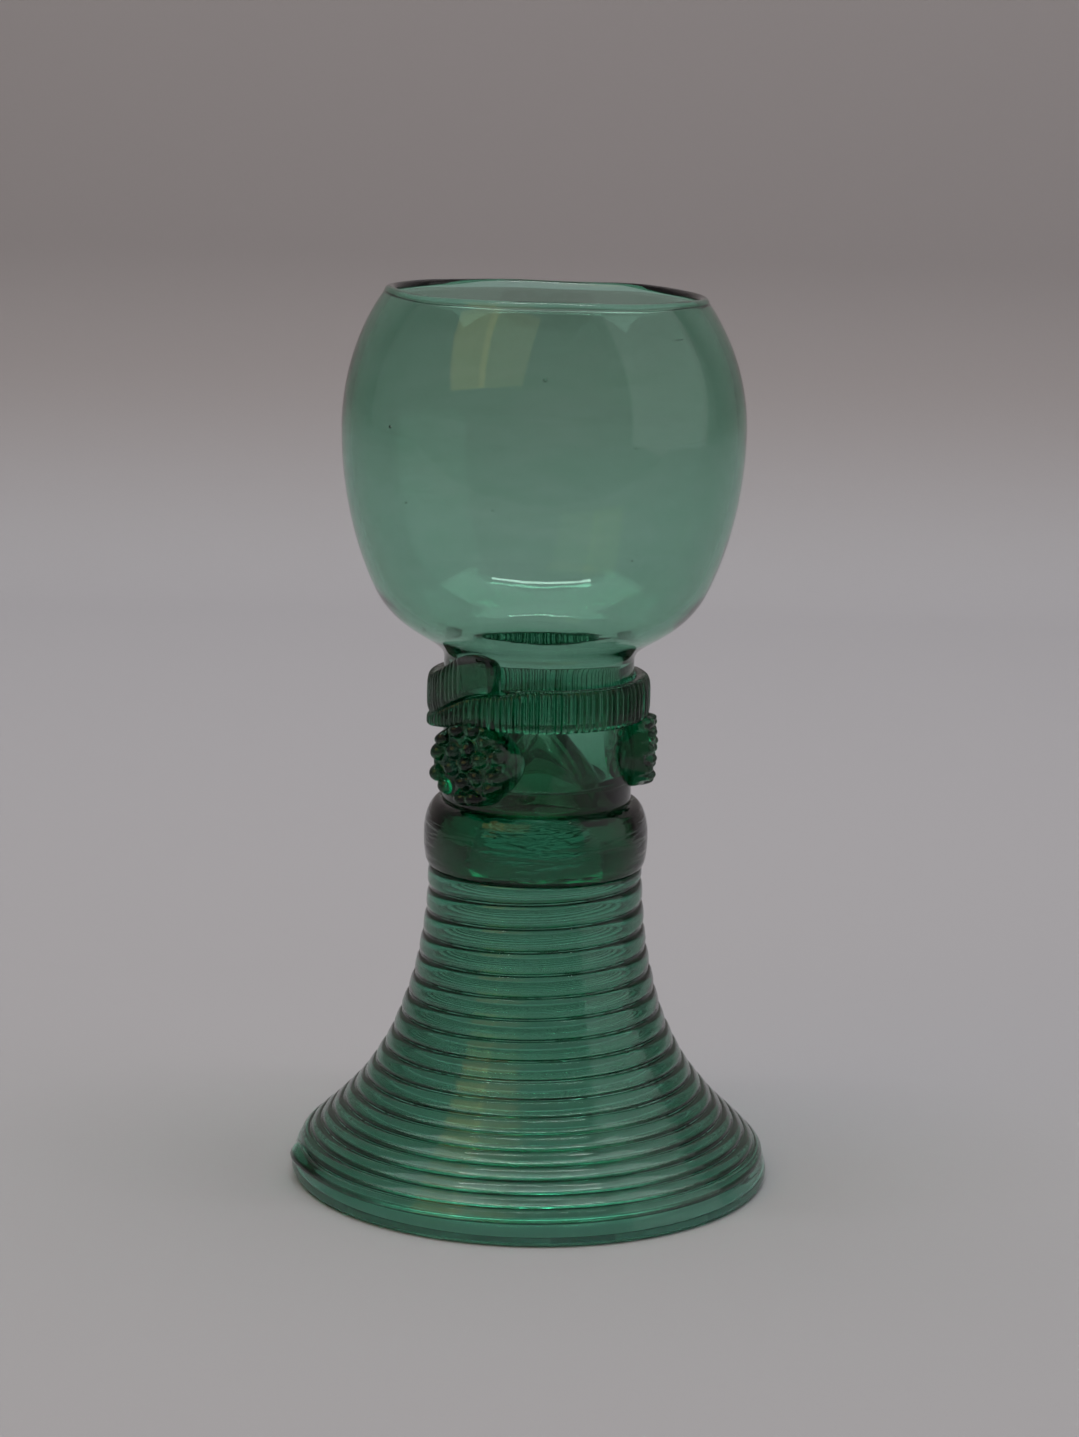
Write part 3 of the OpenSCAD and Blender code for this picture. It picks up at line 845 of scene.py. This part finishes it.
class ROEMER_OT_foot_thread(bpy.types.Operator):
    """Models the thread wound down the foot in one unbroken helix, each turn a little closer to the last"""
    bl_idname = "roemer.foot_thread"
    bl_label = "Wound Thread"

    def execute(self, context):
        shape, glass = context.scene.roemer_shape, context.scene.roemer_glass
        flare = flare_curve(shape)
        table = flare_table(flare)
        first = (shape.turn_gap + shape.pitch_top) / 2
        length = table[-1][0] - shape.rim_band - first
        turns = 2 * length / (shape.pitch_top + shape.pitch_rim)
        # Turn zero is the first of full width: before it the thread widens from its tip along the knop
        begin = (shape.thread_groove + shape.thread_tip) / shape.pitch_top - 1
        rings = int((turns - begin) * THREAD_RINGS) + 1

        # Section in shares of its half width and thickness: a low dome over two corners that are melted in
        top_corners = THREAD_CORNERS - 2
        section = []
        for k in range(top_corners):
            turn = math.pi * k / (top_corners - 1)
            across = math.copysign(abs(math.cos(turn)) ** THREAD_BULGE, math.cos(turn))
            section.append((across, max(0, math.sin(turn)) ** THREAD_BULGE, 0))
        section += [(-THREAD_SEAT, 0, -shape.melt), (THREAD_SEAT, 0, -shape.melt)]

        def frame_at(ring):
            n = mix(begin, turns, ring / (rings - 1))
            if n < 0:
                way = first + shape.pitch_top * n / 2
                pitch = shape.pitch_top * (1 + n)
            else:
                way = first + shape.pitch_top * n + (shape.pitch_rim - shape.pitch_top) * n * n / (2 * turns)
                pitch = mix(shape.pitch_top, shape.pitch_rim, n / turns)
            t = look_up(table, way)
            end = math.sin(math.pi / 2 * min(1, min(n - begin, turns - n) / END_TURN + END_START))
            drop = DROP_TALL * math.exp(-((turns - n - DROP_AT) / DROP_REACH) ** 2)
            half = (pitch - shape.thread_groove) / 2 * (mix(END_WIDE, 1, end) + DROP_WIDE * drop)
            tall = mix(shape.thread_t, shape.thread_low, max(0, n / turns)) * (mix(END_TALL, 1, end) + drop)
            at = shape.thread_end_at + math.tau * (turns - n)
            return cubic(flare, t), heading(flare, t), half, tall, at

        frames = [frame_at(ring) for ring in range(rings)]

        def place(ring, corner):
            seat, up, half, tall, at = frames[ring]
            across, crest, sunk = section[corner]
            uneven = 1 + 0.05 * math.sin(3.1 * at) + 0.04 * math.sin(1.3 * at + 2)
            out = tall * uneven * crest + sunk
            return turned(seat + half * across * up + out * right_of(up), at)

        piece = draw_strip(rings, THREAD_CORNERS, place)
        material = forest_glass("Wound forest glass", glass.foot_green, cords_mm=8, cords_depth_mm=0.02,
                                haze=0.03)
        hand_in(piece, "wound_foot_thread", "foot_glass", material, "foot_thread")
        return {"FINISHED"}


# Stage

# The paper, in metres: half its width, where it starts in front of the glass, where the loose sheet before it
# starts, and the radius, angle, height and lean of its rise behind the glass
SWEEP_HALF = 1.6
SWEEP_FRONT = -0.32
SHEET_FRONT = -1.6
SWEEP_RADIUS = 0.12
SWEEP_ANGLE = 86
SWEEP_STEPS = 32
SWEEP_TOP = 1.6
SWEEP_LEAN = 0.1

# Colour of the studio, its strength as light, and its strength where it is seen, mirrored or looked through
STUDIO = "#f2efee"
STUDIO_LIGHT = 0.12
STUDIO_SEEN = 0.2

# Most walls that a ray may cross, and most times that it may be mirrored
WALLS_CROSSED = 40
TIMES_MIRRORED = 12

# Lamps: place, the point they face, spin in degrees, size, colour, radiance, and whether the glass mirrors
# them. Together they light the paper to about its own colour.
LAMPS = {
    "Overhead softbox": ((0, 0.5, 1.3), (0, 0.5, 0), 0, (2.2, 1.8), "#ffffff", 1.7, False),
    "Overhead strip": ((0, -0.1, 0.98), (0, -0.1, 0), 0, (0.78, 0.05), "#ffffff", 14.0, True),
    "Backdrop panel": ((0, 0.12, 0.95), (0, 1, 0.95), 0, (1.2, 0.3), "#ffffff", 1.9, True),
    "Window, near half": ((-0.58, -0.43, 0.67), (-0.1, 0.13, -0.04), 12, (0.34, 0.62), "#ffd870", 0.68,
                          True),
    "Window, far half": ((-0.31, -0.605, 0.73), (0.16, -0.045, 0.02), 12, (0.42, 0.62), "#ffe090", 0.43,
                         True),
    "Right wall": ((0.99, -0.156, 0.6), (0, 0, 0.38), -12, (1.1, 1.4), "#ffffff", 0.33, True),
}


class ROEMER_OT_stage(bpy.types.Operator):
    """Sets the paper sweep, the lamps, the world and the camera"""
    bl_idname = "roemer.stage"
    bl_label = "Stage"

    def execute(self, context):
        stage = context.scene.roemer_stage
        sweep = new_piece(bpy.ops.mesh.primitive_plane_add, size=1)
        bpy.ops.object.mode_set(mode="EDIT")
        depth = stage.crease_y - SWEEP_FRONT
        bpy.ops.transform.resize(value=(2 * SWEEP_HALF, depth, 1))
        bpy.ops.transform.translate(value=(0, SWEEP_FRONT + depth / 2, 0))
        bpy.ops.object.mode_set(mode="OBJECT")
        for part in (sweep.data.vertices, sweep.data.edges, sweep.data.polygons):
            part.foreach_set("select", [False] * len(part))
        for edge in sweep.data.edges:
            edge.select = all(sweep.data.vertices[v].co.y > 0 for v in edge.vertices)
        bpy.ops.object.mode_set(mode="EDIT")
        bpy.ops.mesh.select_mode(type="EDGE")
        bpy.ops.mesh.spin(steps=SWEEP_STEPS, angle=math.radians(-SWEEP_ANGLE),
                          center=(0, stage.crease_y, SWEEP_RADIUS), axis=(1, 0, 0))
        bpy.ops.mesh.extrude_region_move(TRANSFORM_OT_translate={"value": (0, SWEEP_LEAN, SWEEP_TOP)})
        bpy.ops.object.mode_set(mode="OBJECT")
        bpy.ops.object.shade_smooth()
        sweep.name = sweep.data.name = "paper_sweep"
        sweep.data.materials.append(paper("Matt paper", stage))

        # The room before the sweep is dim, so the glass doesn't mirror the sheet that goes on there
        sheet = new_piece(bpy.ops.mesh.primitive_plane_add, size=1,
                          location=(0, (SHEET_FRONT + SWEEP_FRONT) / 2, 0))
        sheet.scale = (2 * SWEEP_HALF, SWEEP_FRONT - SHEET_FRONT, 1)
        bpy.ops.object.transform_apply(location=True, rotation=True, scale=True)
        sheet.name = sheet.data.name = "paper_sheet"
        sheet.data.materials.append(sweep.data.materials[0])
        sheet.visible_glossy = False

        for name, (place, target, spin, (width, height), tint, radiance, mirrored) in LAMPS.items():
            aim = (Vector(target) - Vector(place)).to_track_quat("-Z", "Y")
            aim = aim @ Quaternion((0, 0, 1), math.radians(spin))
            bpy.ops.object.light_add(type="AREA", location=place, rotation=aim.to_euler())
            lamp = context.object
            lamp.name = name
            lamp.data.shape = "RECTANGLE"
            lamp.data.size, lamp.data.size_y = width, height
            lamp.data.color = linear(tint)
            lamp.data.energy = math.pi * width * height * radiance
            lamp.visible_glossy = mirrored

        world = bpy.data.worlds.new("Dim studio")
        context.scene.world = world
        world.use_nodes = True
        tree = world.node_tree
        ray = add_node(tree, "ShaderNodeLightPath")
        seen = ray.outputs["Is Camera Ray"]
        for kind in ("Is Glossy Ray", "Is Transmission Ray"):
            either = add_node(tree, "ShaderNodeMath", {0: seen, 1: ray.outputs[kind]}, operation="MAXIMUM")
            seen = either.outputs[0]
        strength = add_node(tree, "ShaderNodeMapRange", {"Value": seen, "To Min": STUDIO_LIGHT,
                                                         "To Max": STUDIO_SEEN})
        background = tree.nodes["Background"]
        background.inputs["Color"].default_value = (*linear(STUDIO), 1)
        tree.links.new(strength.outputs[0], background.inputs["Strength"])

        bpy.ops.object.camera_add(location=stage.camera_at)
        camera = context.object
        camera.name = "Camera"
        camera.data.sensor_fit = "VERTICAL"
        camera.data.sensor_height = 36
        camera.data.lens = stage.lens
        camera.data.clip_start = 0.01
        tilt = Matrix.Rotation(math.pi / 2 - stage.pitch, 4, "X") @ Matrix.Rotation(stage.roll, 4, "Z")
        camera.matrix_world = Matrix.Translation(stage.camera_at) @ tilt
        context.scene.camera = camera
        context.scene.view_settings.view_transform = "Standard"

        # A look through the glass crosses many walls, and each needs a bounce
        context.scene.cycles.max_bounces = WALLS_CROSSED
        context.scene.cycles.transmission_bounces = WALLS_CROSSED
        context.scene.cycles.glossy_bounces = TIMES_MIRRORED
        # Light that falls through the glass onto the paper keeps its strength only if it isn't blurred
        context.scene.cycles.blur_glossy = 0
        return {"FINISHED"}


# Sidebar and start

class ROEMER_PT_sidebar(bpy.types.Panel):
    """Lists the pieces of the roemer and the sizes and colours that can be set"""
    bl_idname = "ROEMER_PT_sidebar"
    bl_label = "Roemer"
    bl_space_type = "VIEW_3D"
    bl_region_type = "UI"
    bl_category = "Roemer"

    def draw(self, context):
        for group in (context.scene.roemer_shape, context.scene.roemer_glass, context.scene.roemer_stage):
            box = self.layout.box()
            for field in group.__annotations__:
                box.prop(group, field)
        for operator in OPERATORS:
            self.layout.operator(operator.bl_idname)


GROUPS = {"roemer_shape": RoemerShape, "roemer_glass": RoemerGlass, "roemer_stage": RoemerStage}
OPERATORS = (ROEMER_OT_bowl_and_stem, ROEMER_OT_milled_collar, ROEMER_OT_prunts, ROEMER_OT_foot_knop,
             ROEMER_OT_foot_wall, ROEMER_OT_foot_thread, ROEMER_OT_stage)


def register():
    for cls in (*GROUPS.values(), *OPERATORS, ROEMER_PT_sidebar):
        bpy.utils.register_class(cls)
    for name, group in GROUPS.items():
        setattr(bpy.types.Scene, name, PointerProperty(type=group))


def unregister():
    for name in GROUPS:
        delattr(bpy.types.Scene, name)
    for cls in reversed((*GROUPS.values(), *OPERATORS, ROEMER_PT_sidebar)):
        bpy.utils.unregister_class(cls)


def main():
    register()
    bpy.ops.roemer.bowl_and_stem()
    bpy.ops.roemer.milled_collar()
    bpy.ops.roemer.prunts()
    bpy.ops.roemer.foot_knop()
    bpy.ops.roemer.foot_wall()
    bpy.ops.roemer.foot_thread()
    bpy.ops.roemer.stage()


if __name__ == "__main__":
    main()
